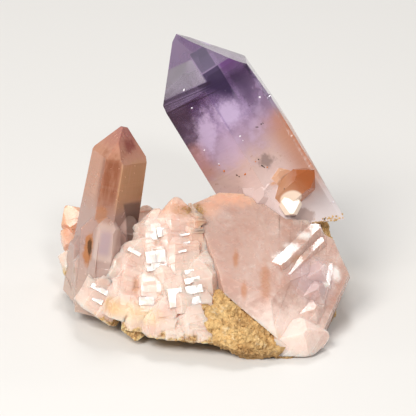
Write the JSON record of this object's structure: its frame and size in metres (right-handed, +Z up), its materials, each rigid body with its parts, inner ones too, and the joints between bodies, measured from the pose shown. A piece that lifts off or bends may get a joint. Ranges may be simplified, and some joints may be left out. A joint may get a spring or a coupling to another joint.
{
  "type": "amethyst cluster",
  "caption": "Amethyst cluster: a large leaning violet quartz point, a slim peach point and stepped milky crystals on ochre rock.",
  "frame": {"origin": "in the flat patch of the rock that rests on the table, about the middle of it", "axes": "+Z up, +X to the right and +Y to the back as the specimen is shown from its front"},
  "size_m": [0.0505, 0.0506, 0.0418],
  "materials": {
    "violet_quartz": "clear to milky violet quartz with glassy faces",
    "peach_quartz": "peach to orange-brown quartz, half clear",
    "milky_quartz": "milky pink quartz, waxy to glassy",
    "ochre_rock": "rough, crumbly and dull"
  },
  "bodies": {
    "root": {"amethyst_point": "violet_quartz", "left_point": "peach_quartz", "fan_crystals": "milky_quartz", "block_crystals": "milky_quartz", "side_crystals": "milky_quartz", "back_crystals": "milky_quartz", "matrix": "ochre_rock"}
  },
  "joints": []
}
